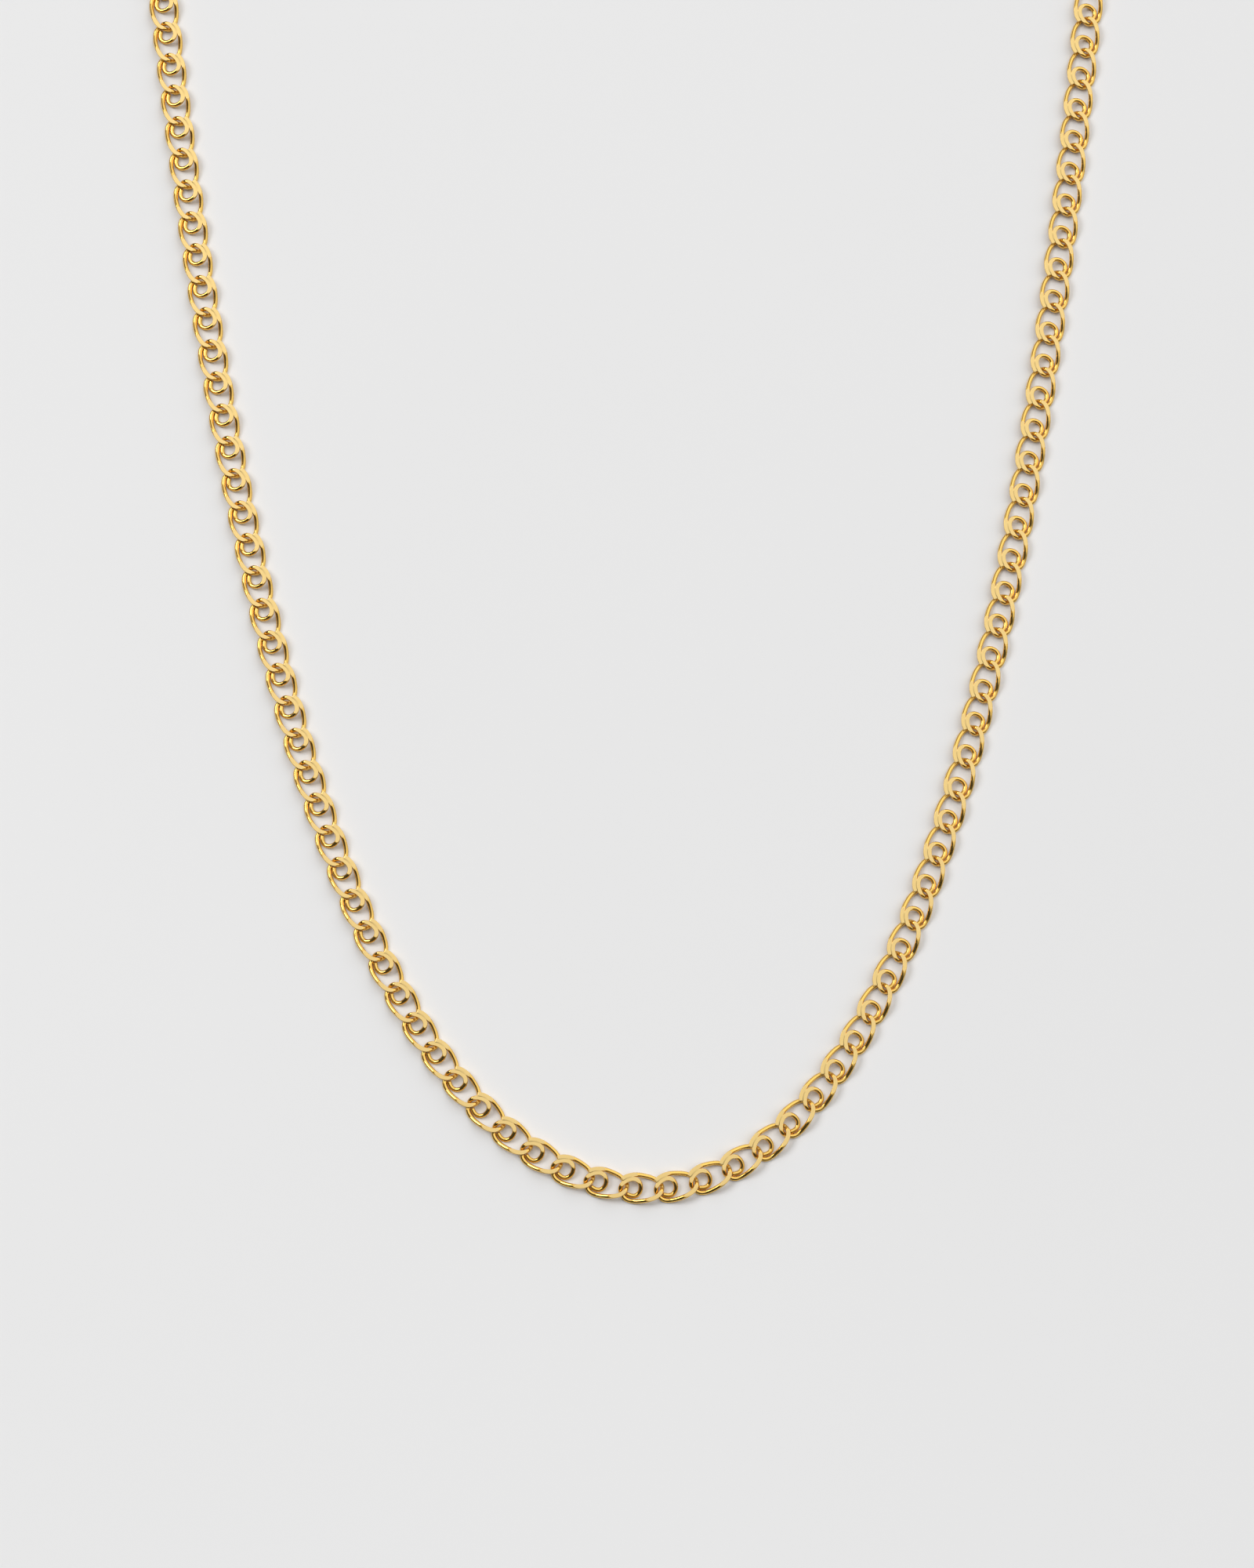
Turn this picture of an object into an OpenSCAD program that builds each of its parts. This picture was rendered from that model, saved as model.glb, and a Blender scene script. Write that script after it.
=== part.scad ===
// Snail-link chain necklace, 45 cm, lying open on a table with its front at the origin.
// +X is to the wearer's left, +Y runs from the front of the necklace to the clasp, +Z is up.

/* [Chain] */
// Diameter of the round wire that every link is wound from
wire_d = 0.46; // [0.42:0.01:0.47]
// Outer length of one link
link_l = 5.22; // [5.18:0.01:5.24]
// Outer width of one link
link_w = 3.48; // [3.44:0.01:3.52]
// Height of the wire's centreline above and below the middle of a link
level = 0.34; // [0.33:0.005:0.36]
// Thickness of a link after both faces are filed flat
link_t = 0.92; // [0.88:0.01:0.98]
// Radius of the round eye, at the middle of the wire
eye_r = 0.985; // [0.97:0.005:0.99]
// Distance from one link to the next
pitch = 4; // [3.98:0.01:4.02]
// Links that move together as one piece
links_per_piece = 2; // [1:1:2]
// Pieces of chain to the left of the front piece
left_pieces = 27; // [1:1:27]
// Pieces of chain to the right of the front piece
right_pieces = 26; // [1:1:26]

/* [Lay] */
// Radius of the left strand's curve where it passes the front
left_sag = 21.2; // [19:0.1:24]
// Radius of the right strand's curve where it passes the front
right_sag = 18.5; // [18:0.1:24]
// How far the middle of the front link lies before the lowest point of the curve
front_offset = 0.85; // [0:0.05:2]

/* [Ends] */
// How far the last piece of each strand is tilted up by the ring under its tip
end_tilt = 1.4; // [1.3:0.1:1.5]
// Radius of the end ring, at the middle of its wire
end_ring_r = 2; // [1.95:0.05:2.05]
// Diameter of the end ring's wire
end_ring_wire_d = 0.6; // [0.5:0.02:0.6]
// Radius of the clasp's jump ring, at the middle of its wire
jump_ring_r = 1.6; // [1.6:0.02:1.64]
// Diameter of the jump ring's wire
jump_ring_wire_d = 0.5; // [0.4:0.02:0.5]

/* [Clasp] */
// Height of the clasp's middle plane above the table
clasp_z = 1.2; // [1.2:0.05:1.3]
// Thickness of the clasp's body
body_t = 2.4; // [2.3:0.05:2.4]
// Radius of the clasp's rear eye, at the middle of its wire
clasp_eye_r = 1.25; // [1.2:0.01:1.3]
// Diameter of the wire of the rear eye
clasp_eye_wire_d = 0.8; // [0.7:0.02:0.8]
// Radius of the hook, at the middle of its bar
hook_r = 1.75; // [1.7:0.05:1.85]
// Diameter of the hook's bar
hook_d = 1.3; // [1.2:0.05:1.4]
// Radius of the pin that the lever turns on
pin_r = 0.3; // [0.28:0.01:0.32]
// Thickness of the lever's hub
hub_t = 0.7; // [0.6:0.02:0.72]
// Gap between parts that move on each other
gap = 0.05; // [0.04:0.005:0.06]
// Thickness of the spring's wire
spring_wire_d = 0.12; // [0.1:0.01:0.13]

/* [Hidden] */
function two_digits(n) = n < 10 ? str("0", n) : str(n);
function piece_name(n) = n == 0 ? "front_links"
    : n < 0 ? str("left_links_", two_digits(-n))
    : str("right_links_", two_digits(n));

half_l = (link_l - wire_d) / 2;
half_w = (link_w - wire_d) / 2;
mid_z = link_t / 2;
// Where two links pivot on each other, ahead of the middle of the first and behind the second.
pivot_ahead = 0.505 * pitch;
pivot_behind = pitch - pivot_ahead;
// How much fatter than the wire the ball at a bend is.
ball_swell = 0.045;

// Bends of the wire around one link, as shares of half_l, half_w and level: from the free end
// along the left side, round the far end, back along the right side and round the near end.
LINK_BENDS = [
    [-0.95, 0.72, 1], [-0.70, 0.96, 1], [-0.29, 1.05, 0.85],
    [0.17, 0.99, -0.29], [0.55, 0.85, -0.97], [0.84, 0.57, -1], [0.96, 0.36, -1],
    [1.01, 0.17, -0.82], [0.99, -0.19, 0.79], [0.84, -0.56, 1],
    [0.53, -0.83, 0.97], [0.08, -0.99, 0.29], [-0.36, -1.01, -0.91],
    [-0.72, -0.87, -1], [-0.92, -0.46, -0.97], [-1.01, -0.11, 0.18],
    [-0.91, 0.26, 0.94], [-0.68, 0.53, 1],
];
// The eye: its middle, as shares of half_l and half_w, and the angles where it starts and ends.
EYE_MIDDLE = [-0.366, 0.046];
EYE_START = 95;
EYE_END = -138;
EYE_SIDES = 6;
EYE_LAST_SHARE = 1.04;

// A bend of the eye. It falls from the upper level to the lower one as the wire goes round.
function eye_bend(k) =
    let (angle = EYE_START + (EYE_END - EYE_START) * k / EYE_SIDES)
    let (r = k == EYE_SIDES ? EYE_LAST_SHARE * eye_r : eye_r)
    let (height = angle < -90 ? -1 : max(-1, min(1, 1.2 * sin(angle))))
    [EYE_MIDDLE.x * half_l + r * cos(angle), EYE_MIDDLE.y * half_w + r * sin(angle), height * level];

// All bends of one link, in millimetres about its middle.
LINK_ROUTE = [
    for (p = LINK_BENDS) [p.x * half_l, p.y * half_w, p.z * level],
    for (k = [0:EYE_SIDES]) eye_bend(k),
];

function unit(v) = v / norm(v);
// Axes of a frame whose third axis runs from point i of a row to the next.
function axes(points, i) =
    let (z_axis = unit(points[i + 1] - points[i]), x_axis = unit(cross([0, 0, 1], z_axis)))
    [x_axis, cross(z_axis, x_axis), z_axis];
// The inverse of a matrix whose rows are three axes at right angles.
function inverse(m) = [for (k = [0:2]) [m[0][k], m[1][k], m[2][k]]];
// The matrix that turns X, Y and Z to the three rows of m.
function turned_to(m) = [for (k = [0:2]) [m[0][k], m[1][k], m[2][k], 0]];

// How far short of a bend's middle the straight wire ends, just inside the ball there.
function ball_reach(d) = floor(48 * sqrt(pow(d + ball_swell, 2) - d * d)) / 100;

// Wire through a row of points, from point i on, in the frame of its first piece. Each piece
// stands on the ball at the end of the last one. A ball is a hair fatter than the wire, so the
// two meet at a clean edge.
module wire_from(points, i, d) {
    span = norm(points[i + 1] - points[i]);
    sphere(d = d + ball_swell, $fn = 24);
    translate([0, 0, ball_reach(d)])
        cylinder(h = span - 2 * ball_reach(d), d = d, $fn = 24);
    translate([0, 0, span])
        if (i < len(points) - 2)
            multmatrix(turned_to(axes(points, i + 1) * inverse(axes(points, i))))
                wire_from(points, i + 1, d);
        else
            sphere(d = d + ball_swell, $fn = 24);
}

module wire_through(points, d) {
    translate(points[0])
        multmatrix(turned_to(axes(points, 0)))
            wire_from(points, 0, d);
}

// One link, wound from a single wire and filed flat on both faces.
module link() {
    intersection() {
        wire_through(LINK_ROUTE, wire_d);
        translate([-link_l, -link_w, -mid_z])
            cube([2 * link_l, 2 * link_w, link_t]);
    }
}

// Heading of link i: the strands leave the front along a hanging curve.
function heading(i) =
    let (s = pitch * i - front_offset)
    atan(s / (s < 0 ? left_sag : right_sag));
function along(angle) = [cos(angle), sin(angle), 0];
function turned(point, angle) = [
    point.x * cos(angle) - point.y * sin(angle),
    point.x * sin(angle) + point.y * cos(angle),
    point.z,
];
// Middle of the filed flat under the eye of a link, about the link's middle.
REST_FLAT = (eye_bend(4) + eye_bend(5)) / 2 + [0, 0, level];
// Middle of link i, reached link by link. The front link rests on the origin with its eye's flat.
function link_middle(i) = i == 0 ? -turned(REST_FLAT, heading(0))
    : i > 0 ? link_middle(i - 1) + pivot_ahead * along(heading(i - 1)) + pivot_behind * along(heading(i))
    : link_middle(i + 1) - pivot_behind * along(heading(i + 1)) - pivot_ahead * along(heading(i));

// First and last link of piece n.
function first_link(n) = n * links_per_piece;
function last_link(n) = first_link(n + 1) - 1;
// Numbers of the last links of the strands.
LEFT_END = first_link(-left_pieces);
RIGHT_END = last_link(right_pieces);

// The pivot between link i and the next one.
pivot_z = mid_z + 0.15;
function pivot(i) = link_middle(i) + pivot_ahead * along(heading(i)) + [0, 0, pivot_z];

// Tilts the last piece of a strand up about its inner pivot.
module tilted(n) {
    i = n < 0 ? last_link(n) : first_link(n) - 1;
    angle = n == -left_pieces ? end_tilt : n == right_pieces ? -end_tilt : 0;
    hinge = pivot(i);
    middle_heading = (heading(i) + heading(i + 1)) / 2;
    translate(hinge)
        rotate([0, 0, middle_heading])
            rotate([0, angle, 0])
                rotate([0, 0, -middle_heading])
                    translate(-hinge)
                        children();
}

// Piece n of the chain: the links that it holds, in their places.
module chain_piece(n) {
    tilted(n)
        for (i = [first_link(n):last_link(n)])
            translate(link_middle(i) + [0, 0, mid_z])
                rotate([0, 0, heading(i)])
                    color("gold")
                        link();
}

// A closed ring of round wire, flat on the table plane.
module ring(r, d) {
    color("gold")
        rotate_extrude($fn = 96)
            translate([r, 0])
                circle(d = d, $fn = 32);
}

// Places something beside the middle of link i, at table level.
module beside_link(i) {
    translate(link_middle(i))
        rotate([0, 0, heading(i)])
            children();
}

// Where the loose parts lie beside the last links, and how far they lean over.
END_RING_AT = [2.68, 0.72, 1.32];
END_RING_LEAN = [28, -12.8, 0];
JUMP_RING_AT = [-2.85, -0.3, 1.47];
JUMP_RING_LEAN = [-46, 22, 0];
CLASP_EYE_AT = [-4.32, 0.58, clasp_z];

// The end ring hangs in the far tip of the right strand and leans on the table.
module end_ring() {
    beside_link(RIGHT_END)
        translate(END_RING_AT)
            rotate(END_RING_LEAN)
                ring(end_ring_r, end_ring_wire_d);
}

// The jump ring hangs in the near tip of the left strand and carries the clasp.
module clasp_jump_ring() {
    beside_link(LEFT_END)
        translate(JUMP_RING_AT)
            rotate(JUMP_RING_LEAN)
                ring(jump_ring_r, jump_ring_wire_d);
}

// The clasp's own frame: the middle of its rear eye, with +X towards the hook.
module clasp_frame() {
    beside_link(LEFT_END)
        translate(CLASP_EYE_AT)
            rotate([0, 0, 180])
                children();
}

// Middles of the round body, the pin and the hook, in the clasp's frame.
BODY_MIDDLE = [3, 0];
BODY_R = 1.9;
PIN = [2.7, -0.5];
HOOK_MIDDLE = [6.3, 0];
BAR_START = [3.2, 0.95, 0];
// The hook runs round from its bar to this angle.
HOOK_END = -100;
GATE_END = [4.93, -1.28];
TAB_END = [3.5, -2.45];
hub_r = 0.75;
slot_t = 1.4;
hub_bottom = gap - slot_t / 2;
// How far the pin stays clear of the walls of its bore in the body.
pin_fit = 0.01;

// A round bar from one point to another, with a slightly fatter ball on its far end.
module bar(from, to, d1, d2) {
    span = norm(to - from);
    translate(from)
        multmatrix(turned_to(axes([from, to], 0))) {
            cylinder(h = span, d1 = d1, d2 = d2, $fn = 40);
            translate([0, 0, span])
                sphere(d = d2 + 0.08, $fn = 40);
        }
}

// The round body. Its rims are bevelled.
module body_disc() {
    bevel = 0.3;
    translate([BODY_MIDDLE.x, BODY_MIDDLE.y, -body_t / 2]) {
        cylinder(h = bevel, r1 = BODY_R - bevel, r2 = BODY_R, $fn = 72);
        translate([0, 0, bevel])
            cylinder(h = body_t - 2 * bevel, r = BODY_R, $fn = 72);
        translate([0, 0, body_t - bevel])
            cylinder(h = bevel, r1 = BODY_R, r2 = BODY_R - bevel, $fn = 72);
    }
}

// The bar out of the body, the hook, and the rounded tip that the gate closes on.
module hook() {
    bar(BAR_START, [HOOK_MIDDLE.x, hook_r, 0], hook_d + 0.4, hook_d);
    translate([HOOK_MIDDLE.x, HOOK_MIDDLE.y, 0])
        rotate([0, 0, HOOK_END]) {
            rotate_extrude(angle = 88 - HOOK_END, $fn = 96)
                translate([hook_r, 0])
                    circle(d = hook_d, $fn = 40);
            translate([hook_r, 0, 0])
                rotate([90, 0, 0])
                    sphere(d = hook_d + 0.1, $fn = 40);
        }
}

// The slot that the lever lies in, open to the side of the gate.
module lever_slot() {
    translate([1.75, -3, -slot_t / 2])
        cube([3.4, 3.4, slot_t]);
}

// The bore for the pin.
module pin_bore(r) {
    translate([PIN.x, PIN.y, -body_t])
        cylinder(h = 2 * body_t, r = r, $fn = 32);
}

module clasp_body() {
    clasp_frame()
        color("gold")
            difference() {
                union() {
                    ring(clasp_eye_r, clasp_eye_wire_d);
                    body_disc();
                    hook();
                }
                lever_slot();
                pin_bore(pin_r + pin_fit);
            }
}

// The pin is flush with both faces of the body.
module clasp_pin() {
    clasp_frame()
        color("gold")
            translate([PIN.x, PIN.y, -body_t / 2])
                cylinder(h = body_t, r = pin_r, $fn = 32);
}

// The lever: a hub on the pin, the gate that closes the hook, and the thumb tab beside it.
module clasp_lever() {
    arm_d = 0.6;
    arm_start = [PIN.x, PIN.y, hub_bottom + hub_t / 2];
    clasp_frame()
        color("gold")
            difference() {
                union() {
                    translate([PIN.x, PIN.y, hub_bottom])
                        cylinder(h = hub_t, r = hub_r, $fn = 48);
                    bar(arm_start, [GATE_END.x, GATE_END.y, 0], arm_d, 0.68);
                    bar(arm_start, [TAB_END.x, TAB_END.y, 0], arm_d, 0.76);
                }
                pin_bore(pin_r + gap);
            }
}

// The torsion spring: two turns of thin wire around the pin, above the lever's hub.
module clasp_spring() {
    TURNS = 2;
    SIDES = 8;
    coil_r = pin_r + spring_wire_d;
    start_z = hub_bottom + hub_t + spring_wire_d;
    end_z = slot_t / 2 - spring_wire_d;
    coil = [
        for (k = [0:TURNS * SIDES])
            [
                PIN.x + coil_r * cos(k * 360 / SIDES),
                PIN.y + coil_r * sin(k * 360 / SIDES),
                start_z + (end_z - start_z) * k / (TURNS * SIDES),
            ],
    ];
    clasp_frame()
        color("silver")
            wire_through(coil, spring_wire_d);
}

for (n = [-left_pieces:right_pieces])
    chain_piece(n);
end_ring();
clasp_jump_ring();
clasp_body();
clasp_pin();
clasp_lever();
clasp_spring();
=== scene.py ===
"""Snail-link chain necklace: the looks, in the frame of the CAD model. The scene is in metres.
The chain and the rings are worked out in mm, and turned into metres as they are added."""

from math import acos, atan2, cos, pi, radians, sin

import bpy
import numpy as np
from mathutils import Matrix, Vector


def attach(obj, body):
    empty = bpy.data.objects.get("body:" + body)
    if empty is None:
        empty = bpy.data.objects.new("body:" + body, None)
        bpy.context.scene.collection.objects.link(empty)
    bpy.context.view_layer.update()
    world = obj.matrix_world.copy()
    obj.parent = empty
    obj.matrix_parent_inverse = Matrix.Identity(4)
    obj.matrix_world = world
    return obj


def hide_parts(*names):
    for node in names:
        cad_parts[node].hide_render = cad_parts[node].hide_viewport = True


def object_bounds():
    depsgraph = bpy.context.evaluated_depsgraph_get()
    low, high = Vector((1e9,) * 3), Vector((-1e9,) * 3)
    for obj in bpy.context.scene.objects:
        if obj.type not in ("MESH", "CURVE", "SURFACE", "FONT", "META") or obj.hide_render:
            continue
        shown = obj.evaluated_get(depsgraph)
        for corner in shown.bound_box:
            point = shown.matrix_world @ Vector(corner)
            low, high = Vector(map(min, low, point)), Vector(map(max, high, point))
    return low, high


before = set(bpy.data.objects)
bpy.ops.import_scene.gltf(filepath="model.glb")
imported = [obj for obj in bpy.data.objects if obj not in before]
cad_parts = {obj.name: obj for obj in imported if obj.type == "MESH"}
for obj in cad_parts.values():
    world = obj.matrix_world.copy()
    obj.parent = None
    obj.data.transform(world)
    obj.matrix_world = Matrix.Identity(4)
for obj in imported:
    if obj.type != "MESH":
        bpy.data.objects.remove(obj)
CAD_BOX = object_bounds()
MM = 0.001

# ---------------------------------------------------------------- the chain's driving sizes, in mm
WIRE_R = 0.265
# Half the length and half the width of the route that a link's wire takes.
HALF_L = 2.355
HALF_W = 1.468
# How far that route rises above and falls below the link's middle.
LEVEL = 0.33
# Thickness of a link between its filed faces.
LINK_T = 0.92
EYE_R = 0.96
# From link to link, and from a link's middle to the crossing ahead of it and the one behind it.
PITCH = 4.0
AHEAD = 0.505 * PITCH
BEHIND = PITCH - AHEAD
# The lay: a larger sag makes a wider curve. Its lowest point is this far along the chain from the
# front link's middle.
LEFT_SAG, RIGHT_SAG = 21.2, 18.5
FRONT_OFFSET = 0.85
LINKS_PER_PIECE = 2
LEFT_PIECES, RIGHT_PIECES = 27, 26
# The ring under its tip tilts the last piece of each strand up by this angle, in degrees.
END_TILT = 1.4
# Height above a link's middle of the point that an end piece tilts about.
TILT_RISE = 0.15
# The flat under the front link's eye that rests on the origin, from that link's middle.
REST_FLAT = (-0.706, -0.845, 0.0)

# Bends of one link's wire, as shares of HALF_L, HALF_W and LEVEL, from its free end, which is
# pressed against the eye, round the link and up to the eye.
LINK_BENDS = [
    (-0.93, 0.60, 1), (-0.70, 0.87, 1), (-0.29, 1.03, 0.95),
    (0.17, 0.99, -0.29), (0.55, 0.85, -0.97), (0.84, 0.57, -1), (0.96, 0.36, -1),
    (1.01, 0.17, -0.82), (0.99, -0.19, 0.79), (0.84, -0.56, 1),
    (0.53, -0.83, 0.97), (0.08, -0.99, 0.29), (-0.36, -1.01, -0.91),
    (-0.72, -0.87, -1), (-0.92, -0.46, -0.97), (-1.01, -0.11, 0.18),
    (-0.91, 0.26, 0.94), (-0.69, 0.55, 1),
]
EYE_MIDDLE = (-0.366 * HALF_L, 0.046 * HALF_W)
EYE_START, EYE_END, EYE_SIDES = 95, -138, 6
EYE_LAST_SHARE = 1.14
# How steeply the eye's wire falls from the upper level to the lower one.
EYE_FALL = 1.2
# The eye is a little narrower along the chain than across it.
EYE_NARROWED = 0.9


def eye_bend(k):
    """Bend k of the link's eye, which falls from the upper level to the lower one."""
    angle = EYE_START + (EYE_END - EYE_START) * k / EYE_SIDES
    r = EYE_LAST_SHARE * EYE_R if k == EYE_SIDES else EYE_R
    height = -1 if angle < -90 else max(-1, min(1, EYE_FALL * sin(radians(angle))))
    return (
        EYE_MIDDLE[0] + EYE_NARROWED * r * cos(radians(angle)),
        EYE_MIDDLE[1] + r * sin(radians(angle)),
        height * LEVEL,
    )


def link_bends():
    band = [(x * HALF_L, y * HALF_W, z * LEVEL) for x, y, z in LINK_BENDS]
    eye = [eye_bend(k) for k in range(EYE_SIDES + 1)]
    return np.array(band + eye)


# ---------------------------------------------------------------- how the chain lies
def heading(i):
    """Direction of link i, in radians: the strands leave the front along a hanging curve."""
    s = PITCH * i - FRONT_OFFSET
    return atan2(s, LEFT_SAG if s < 0 else RIGHT_SAG)


def along(angle):
    return np.array([cos(angle), sin(angle), 0.0])


def turn_z(angle):
    c, s = cos(angle), sin(angle)
    return np.array([[c, -s, 0.0], [s, c, 0.0], [0.0, 0.0, 1.0]])


def turn_y(angle):
    c, s = cos(angle), sin(angle)
    return np.array([[c, 0.0, s], [0.0, 1.0, 0.0], [-s, 0.0, c]])


def turn_x(angle):
    c, s = cos(angle), sin(angle)
    return np.array([[1.0, 0.0, 0.0], [0.0, c, -s], [0.0, s, c]])


def link_middles():
    """Middles of all links, from the front link, whose eye rests on the origin."""
    middles = {0: -turn_z(heading(0)) @ np.array(REST_FLAT)}
    for i in range(1, LINKS_PER_PIECE * (RIGHT_PIECES + 1)):
        middles[i] = middles[i - 1] + AHEAD * along(heading(i - 1)) + BEHIND * along(heading(i))
    for i in range(-1, -LINKS_PER_PIECE * LEFT_PIECES - 1, -1):
        middles[i] = middles[i + 1] - BEHIND * along(heading(i + 1)) - AHEAD * along(heading(i))
    return middles


MIDDLES = link_middles()
FIRST_LINK = min(MIDDLES)
LAST_LINK = max(MIDDLES)


def tilt_of(n):
    """(rotation, centre) of the slight tilt that the end pieces have."""
    if n not in (-LEFT_PIECES, RIGHT_PIECES):
        return np.eye(3), np.zeros(3)
    i = LINKS_PER_PIECE * (n + 1) - 1 if n < 0 else LINKS_PER_PIECE * n - 1
    angle = radians(END_TILT if n < 0 else -END_TILT)
    middle = (heading(i) + heading(i + 1)) / 2
    centre = MIDDLES[i] + AHEAD * along(heading(i)) + np.array([0, 0, LINK_T / 2 + TILT_RISE])
    return turn_z(middle) @ turn_y(angle) @ turn_z(-middle), centre


def beside_link(points, i, at, lean):
    """Points of a loose part, leaned over and put in its place beside link i."""
    lean_x, lean_y = (radians(a) for a in lean)
    points = points @ (turn_y(lean_y) @ turn_x(lean_x)).T + np.array(at)
    return points @ turn_z(heading(i)).T + MIDDLES[i]


# ---------------------------------------------------------------- wire as a mesh
STEPS_PER_BEND = 7
# The dome on a cut end: how far its edge is drawn in, and its heights as shares of the radius.
DOME_EDGE, DOME_EDGE_RISE, DOME_TOP_RISE = 0.86, 0.12, 0.16
# Where the section's points lie: across each flat, and down each side, as shares of their width.
FLAT_SHARES = (-1.0, -0.88, 0.0, 0.88, 1.0)
SIDE_SHARES = (0.07, 0.22, 0.5, 0.78, 0.93)
LEAST_FLAT = 0.35


def smooth_route(bends, steps):
    """A smooth curve by the bends. It is halfway between the spline that runs through every bend
    (Catmull-Rom) and the spline that rounds them off (cubic B-spline)."""
    before = 2 * bends[0] - bends[1]
    after = 2 * bends[-1] - bends[-2]
    row = np.vstack([before, bends, after])
    points = []
    for a, b, c, d in zip(row, row[1:], row[2:], row[3:]):
        for t in np.arange(steps) / steps:
            through = (2 * b + (c - a) * t + (2 * a - 5 * b + 4 * c - d) * t**2
                       + (3 * b - a - 3 * c + d) * t**3) / 2
            rounded = ((1 - t) ** 3 * a + (3 * t**3 - 6 * t**2 + 4) * b
                       + (1 + 3 * t + 3 * t**2 - 3 * t**3) * c + t**3 * d) / 6
            points.append((through + rounded) / 2)
    points.append(bends[-1])
    return np.array(points)


def section(r, ceiling, floor):
    """Outline of a round wire whose top is filed off at ceiling and whose bottom at floor.
    Returns the points (side, up) and whether each lies on a filed flat."""
    def cap(limit):
        half = max(acos(min(1.0, limit / r)), LEAST_FLAT)
        sides = [r * sin(half) * share for share in FLAT_SHARES]
        ups = [(r * r - s * s) ** 0.5 for s in sides]
        return half, [(s, min(u, limit), u >= limit - 1e-9) for s, u in zip(sides, ups)]

    top_half, top = cap(ceiling)
    bottom_half, bottom = cap(-floor)
    sweep = pi - top_half - bottom_half
    side = [(r * sin(top_half + sweep * share), r * cos(top_half + sweep * share)) for share in SIDE_SHARES]
    outline = [(s, u, flat) for s, u, flat in top]
    outline += [(s, u, False) for s, u in side]
    outline += [(-s, -u, flat) for s, u, flat in bottom]
    outline += [(-s, u, False) for s, u in reversed(side)]
    return outline


def wire_mesh(route, r, half_t=None, closed=False):
    """Vertices, quads and 'on a flat' flags of a wire along a route. half_t files its faces."""
    count = len(route)
    if closed:
        tangents = np.roll(route, -1, 0) - np.roll(route, 1, 0)
    else:
        tangents = np.gradient(route, axis=0)
    rings, flags = [], []
    for k in range(count):
        t = tangents[k] / np.linalg.norm(tangents[k])
        side = np.cross(t, [0.0, 0.0, 1.0])
        side /= np.linalg.norm(side)
        up = np.cross(side, t)
        ceiling, floor = r, -r
        if half_t:
            ceiling = min(r, (half_t - route[k][2]) / up[2])
            floor = max(-r, (-half_t - route[k][2]) / up[2])
        outline = section(r, ceiling, floor)
        rings.append([route[k] + s * side + u * up for s, u, _ in outline])
        flags.append([flat and half_t is not None for _, _, flat in outline])
    n = len(rings[0])
    verts = [v for ring in rings for v in ring]
    flat = [f for ring in flags for f in ring]
    faces = []
    for k in range(count if closed else count - 1):
        base, following = k * n, (k + 1) % count * n
        faces += [(base + j, base + (j + 1) % n, following + (j + 1) % n, following + j) for j in range(n)]
    if not closed:
        for k, outward in ((0, -1), (count - 1, 1)):
            faces += end_cap(verts, flat, k * n, n, route[k], tangents[k], outward, r)
    return np.array(verts), faces, flat


def end_cap(verts, flat, base, n, middle, tangent, outward, r):
    """Closes one end of a wire with a slightly domed face. Adds to verts and flat."""
    axis = outward * tangent / np.linalg.norm(tangent)
    start = len(verts)
    for j in range(n):
        verts.append(middle + DOME_EDGE * (verts[base + j] - middle) + DOME_EDGE_RISE * r * axis)
        flat.append(False)
    verts.append(middle + DOME_TOP_RISE * r * axis)
    flat.append(False)
    faces = []
    for j in range(n):
        a, b = base + j, base + (j + 1) % n
        c, d = start + (j + 1) % n, start + j
        faces.append((a, b, c, d) if outward > 0 else (d, c, b, a))
        faces.append((d, c, start + n) if outward > 0 else (start + n, c, d))
    return faces


def link_mesh():
    route = smooth_route(link_bends(), STEPS_PER_BEND)
    route[:, 2] = route[:, 2].clip(-LEVEL, LEVEL)
    verts, faces, flat = wire_mesh(route, WIRE_R, LINK_T / 2)
    return verts + np.array([0, 0, LINK_T / 2]), faces, flat


def add_piece(name, verts, faces, materials, body, node, flat=None, tones=None):
    """A smooth-shaded mesh object that stands for a CAD node and rides on its body."""
    mesh = bpy.data.meshes.new(name)
    mesh.from_pydata((verts * MM).tolist(), [], faces)
    for material in materials:
        mesh.materials.append(material)
    mesh.polygons.foreach_set("use_smooth", [True] * len(faces))
    if flat is not None:
        mesh.polygons.foreach_set("material_index", [int(all(flat[v] for v in f)) for f in faces])
    if tones is not None:
        tone = mesh.attributes.new("tone", "FLOAT", "POINT")
        tone.data.foreach_set("value", tones)
    mesh.update()
    piece = bpy.data.objects.new(name, mesh)
    bpy.context.scene.collection.objects.link(piece)
    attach(piece, body)
    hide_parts(node)
    return piece


# ---------------------------------------------------------------- materials
class Nodes:
    """A small helper to write node trees in a readable way."""

    def __init__(self, tree):
        self.tree = tree
        tree.nodes.clear()

    def add(self, kind, inputs=None, **settings):
        node = self.tree.nodes.new(kind)
        for key, value in settings.items():
            setattr(node, key, value)
        for key, value in (inputs or {}).items():
            if isinstance(value, bpy.types.NodeSocket):
                self.tree.links.new(value, node.inputs[key])
            else:
                node.inputs[key].default_value = value
        return node

    def ramp(self, factor, stops):
        """A colour ramp; stops are (position, colour)."""
        node = self.add("ShaderNodeValToRGB", {"Fac": factor})
        ramp = node.color_ramp
        while len(ramp.elements) < len(stops):
            ramp.elements.new(0.5)
        for element, (position, colour) in zip(ramp.elements, stops):
            element.position = position
            element.color = (*colour, 1.0)
        return node.outputs["Color"]

    def span(self, value, low, high):
        """Maps 0..1 to low..high."""
        node = self.add("ShaderNodeMapRange", {"Value": value, "To Min": low, "To Max": high})
        return node.outputs["Result"]


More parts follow.
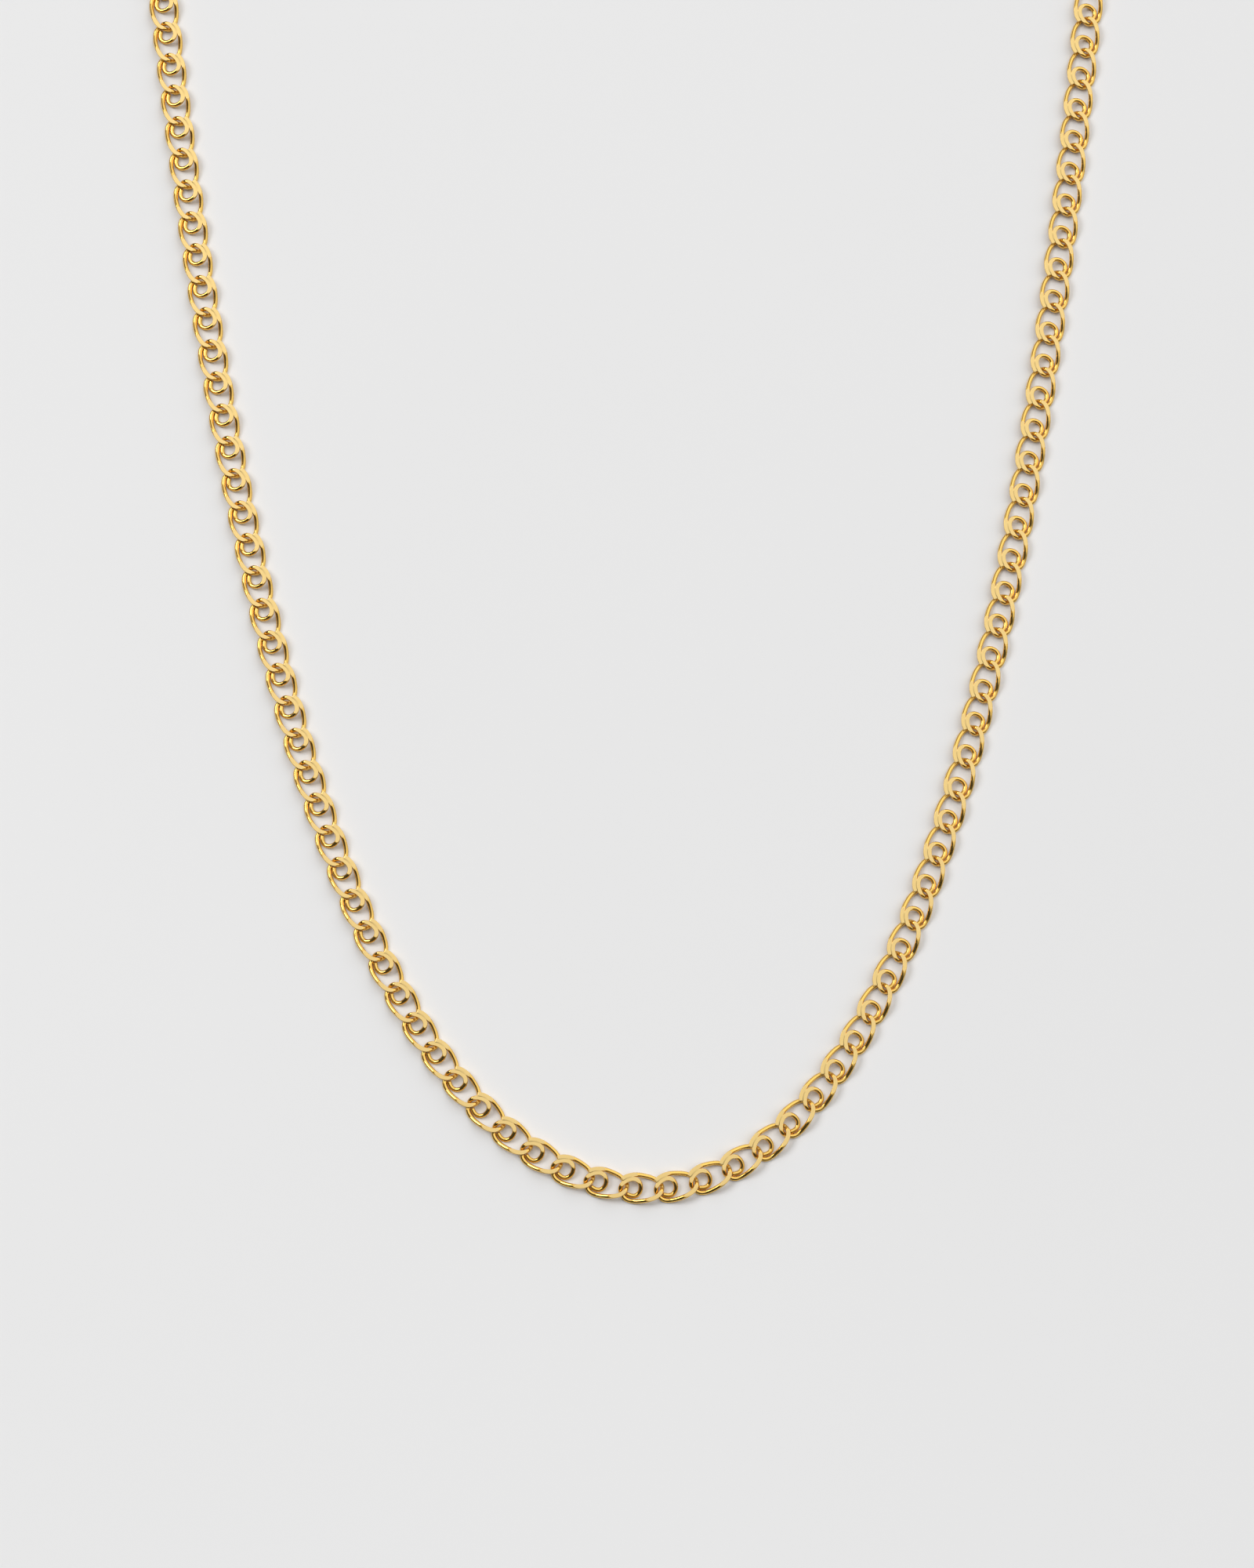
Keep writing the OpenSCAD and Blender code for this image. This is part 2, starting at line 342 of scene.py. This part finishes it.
def gold(name, colours, roughness, grain_scale, grain, wear_scale):
    """Gold-plated metal. Its colour drifts a little with wear and from link to link, and a fine
    grain varies its roughness and lifts its surface."""
    material = bpy.data.materials.new(name)
    material.use_nodes = True
    n = Nodes(material.node_tree)
    place = n.add("ShaderNodeTexCoord").outputs["Object"]
    wear = n.add("ShaderNodeTexNoise", {"Vector": place, "Scale": wear_scale, "Detail": 3.0}).outputs["Fac"]
    fine = n.add("ShaderNodeTexNoise", {"Vector": place, "Scale": grain_scale, "Detail": 2.0}).outputs["Fac"]
    tone = n.add("ShaderNodeAttribute", attribute_name="tone").outputs["Fac"]
    mixed = n.add("ShaderNodeMath", {0: wear, 1: tone}, operation="ADD").outputs[0]
    colour = n.ramp(n.span(mixed, 0.0, 0.5), [(0.3, colours[0]), (1.0, colours[1])])
    bump = n.add("ShaderNodeBump", {"Height": fine, "Strength": grain, "Distance": 0.00002})
    shader = n.add("ShaderNodeBsdfPrincipled", {
        "Base Color": colour,
        "Metallic": 0.92,
        "Roughness": n.span(fine, *roughness),
        "Normal": bump.outputs["Normal"],
    })
    n.add("ShaderNodeOutputMaterial", {"Surface": shader.outputs["BSDF"]})
    return material


POLISHED = gold(
    "polished_gold", colours=((0.84, 0.53, 0.13), (0.92, 0.63, 0.20)), roughness=(0.07, 0.14),
    grain_scale=9000, grain=0.06, wear_scale=500,
)
FILED = gold(
    "filed_gold", colours=((0.80, 0.58, 0.23), (0.90, 0.69, 0.31)), roughness=(0.36, 0.46),
    grain_scale=16000, grain=0.25, wear_scale=900,
)


def steel():
    material = bpy.data.materials.new("spring_steel")
    material.use_nodes = True
    n = Nodes(material.node_tree)
    place = n.add("ShaderNodeTexCoord").outputs["Object"]
    drawn = n.add("ShaderNodeTexNoise", {"Vector": place, "Scale": 12000, "Detail": 2.0}).outputs["Fac"]
    bump = n.add("ShaderNodeBump", {"Height": drawn, "Strength": 0.3, "Distance": 0.00001})
    shader = n.add("ShaderNodeBsdfPrincipled", {
        "Base Color": n.ramp(drawn, [(0.2, (0.42, 0.41, 0.39)), (0.8, (0.60, 0.59, 0.57))]),
        "Metallic": 1.0,
        "Roughness": n.span(drawn, 0.25, 0.4),
        "Normal": bump.outputs["Normal"],
    })
    n.add("ShaderNodeOutputMaterial", {"Surface": shader.outputs["BSDF"]})
    return material


# ---------------------------------------------------------------- the chain
LINK = link_mesh()
# Each link's tone is a step of the golden ratio on from the last, so neighbours differ.
TONE_RANGE = 0.16
GOLDEN_SHARE = 0.6180339887


def piece_name(n):
    if n == 0:
        return "front_links"
    return f"left_links_{-n:02d}" if n < 0 else f"right_links_{n:02d}"


def tone_of(i):
    """A small fixed difference in tone between links."""
    return TONE_RANGE * ((i * GOLDEN_SHARE) % 1.0)


def add_chain_piece(n):
    verts, faces, flat = LINK
    tilt, centre = tilt_of(n)
    all_verts, all_faces, all_flat, tones = [], [], [], []
    for i in range(LINKS_PER_PIECE * n, LINKS_PER_PIECE * (n + 1)):
        placed = verts @ turn_z(heading(i)).T + MIDDLES[i]
        placed = (placed - centre) @ tilt.T + centre
        offset = len(all_flat)
        all_verts.append(placed)
        all_faces += [tuple(v + offset for v in f) for f in faces]
        all_flat += flat
        tones += [tone_of(i)] * len(verts)
    node = piece_name(n)
    add_piece("chain_" + node, np.vstack(all_verts), all_faces, [POLISHED, FILED], node, node,
              all_flat, tones)


for number in range(-LEFT_PIECES, RIGHT_PIECES + 1):
    add_chain_piece(number)


# ---------------------------------------------------------------- rings and clasp
RING_STEPS = 96
RINGS = {
    # node: (radius, wire radius, beside link, place, lean about X then Y)
    "end_ring": (2.0, 0.3, LAST_LINK, (2.68, 0.72, 1.32), (28, -12.8)),
    "clasp_jump_ring": (1.6, 0.25, FIRST_LINK, (-2.85, -0.3, 1.47), (-46, 22)),
}


def add_ring(node):
    radius, wire_r, link, at, lean = RINGS[node]
    angles = np.arange(RING_STEPS) * 2 * pi / RING_STEPS
    route = np.stack([radius * np.cos(angles), radius * np.sin(angles), 0 * angles], 1)
    verts, faces, _ = wire_mesh(route, wire_r, closed=True)
    placed = beside_link(verts, link, at, lean)
    add_piece(node + "_wire", placed, faces, [POLISHED], node, node)


for ring in RINGS:
    add_ring(ring)


# CAD nodes that are shown as they are: how wide their broken edges are, and from what angle an
# edge counts as sharp.
EDGE_WIDTHS = {"clasp_body": 0.06, "clasp_lever": 0.04, "clasp_pin": 0.03}
SHARP_ANGLE = 35


def set_material(node, material):
    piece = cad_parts[node]
    piece.data.materials.clear()
    piece.data.materials.append(material)
    return piece


for node_name, width in EDGE_WIDTHS.items():
    edge = set_material(node_name, POLISHED).modifiers.new("broken_edge", "BEVEL")
    edge.width = width * MM
    edge.segments = 2
    edge.limit_method = "ANGLE"
    edge.angle_limit = radians(SHARP_ANGLE)
    edge.harden_normals = True
set_material("clasp_spring", steel())


# ---------------------------------------------------------------- table, light and camera
# Half the table's width and the range of its grey.
TABLE_HALF = 3.0
TABLE_DARK, TABLE_LIGHT = (0.91, 0.91, 0.91), (0.93, 0.93, 0.93)
# The lamp's place and target, the width of its disk in metres, and its power in watts.
KEY_AT, KEY_TARGET = Vector((-1.5, 0.9, 1.8)), Vector((0.0, 0.1, 0.0))
KEY_SIZE, KEY_POWER = 1.3, 23.5
# Where the middle of the soft dome is, and how strong it is.
DOME_WAY = (0.48, 0.55, 0.68)
DOME_STRENGTH = 1.27
# The camera looks down on the table, tipped a little forward. Its place and lens are in mm, its
# tip in degrees.
CAMERA_AT = (-0.85, -56.26, 500.5)
CAMERA_TIP = 11.72
CAMERA_LENS = 127.3
SENSOR_WIDTH = 36.0


def add_floor():
    material = bpy.data.materials.new("pale_table")
    material.use_nodes = True
    n = Nodes(material.node_tree)
    place = n.add("ShaderNodeTexCoord").outputs["Object"]
    cloud = n.add("ShaderNodeTexNoise", {"Vector": place, "Scale": 6.0, "Detail": 2.0}).outputs["Fac"]
    shader = n.add("ShaderNodeBsdfPrincipled", {
        "Base Color": n.ramp(cloud, [(0.3, TABLE_DARK), (0.7, TABLE_LIGHT)]),
        "Roughness": 0.85,
    })
    shader.inputs["Specular IOR Level"].default_value = 0.2
    n.add("ShaderNodeOutputMaterial", {"Surface": shader.outputs["BSDF"]})
    mesh = bpy.data.meshes.new("table")
    low = CAD_BOX[0][2]
    sides = [(-1, -1), (1, -1), (1, 1), (-1, 1)]
    mesh.from_pydata([(x * TABLE_HALF, y * TABLE_HALF, low) for x, y in sides], [], [(0, 1, 2, 3)])
    mesh.materials.append(material)
    table = bpy.data.objects.new("table", mesh)
    bpy.context.scene.collection.objects.link(table)


def add_key_light():
    data = bpy.data.lights.new("key", "AREA")
    data.shape = "DISK"
    data.size = KEY_SIZE
    data.energy = KEY_POWER
    lamp = bpy.data.objects.new("key", data)
    lamp.location = KEY_AT
    lamp.rotation_euler = (KEY_TARGET - KEY_AT).to_track_quat("-Z", "Y").to_euler()
    bpy.context.scene.collection.objects.link(lamp)


def set_world():
    """A soft white dome over the back of the table. The room is dark low down in front of it."""
    world = bpy.data.worlds.new("studio")
    bpy.context.scene.world = world
    world.use_nodes = True
    n = Nodes(world.node_tree)
    way = n.add("ShaderNodeTexCoord").outputs["Generated"]
    towards = n.add("ShaderNodeVectorMath", {0: way, 1: DOME_WAY}, operation="DOT_PRODUCT")
    room = n.ramp(towards.outputs["Value"], [
        (0.0, (0.012, 0.011, 0.010)), (0.42, (0.02, 0.018, 0.016)), (0.60, (0.74, 0.74, 0.74)),
        (1.0, (1.15, 1.15, 1.15)),
    ])
    seen = n.add("ShaderNodeLightPath").outputs["Is Camera Ray"]
    plain = n.add("ShaderNodeBackground", {"Color": (0.8, 0.8, 0.8, 1.0), "Strength": 1.0})
    lit = n.add("ShaderNodeBackground", {"Color": room, "Strength": DOME_STRENGTH})
    mix = n.add("ShaderNodeMixShader", {0: seen, 1: lit.outputs[0], 2: plain.outputs[0]})
    n.add("ShaderNodeOutputWorld", {"Surface": mix.outputs[0]})


def add_camera():
    data = bpy.data.cameras.new("camera")
    data.sensor_fit = "HORIZONTAL"
    data.sensor_width = SENSOR_WIDTH
    data.lens = CAMERA_LENS
    data.clip_start = 0.01
    data.clip_end = 20.0
    camera = bpy.data.objects.new("camera", data)
    camera.location = [c * MM for c in CAMERA_AT]
    camera.rotation_euler = (radians(CAMERA_TIP), 0.0, 0.0)
    bpy.context.scene.collection.objects.link(camera)
    bpy.context.scene.camera = camera


add_floor()
set_world()
add_key_light()
add_camera()
bpy.context.scene.view_settings.view_transform = "Standard"
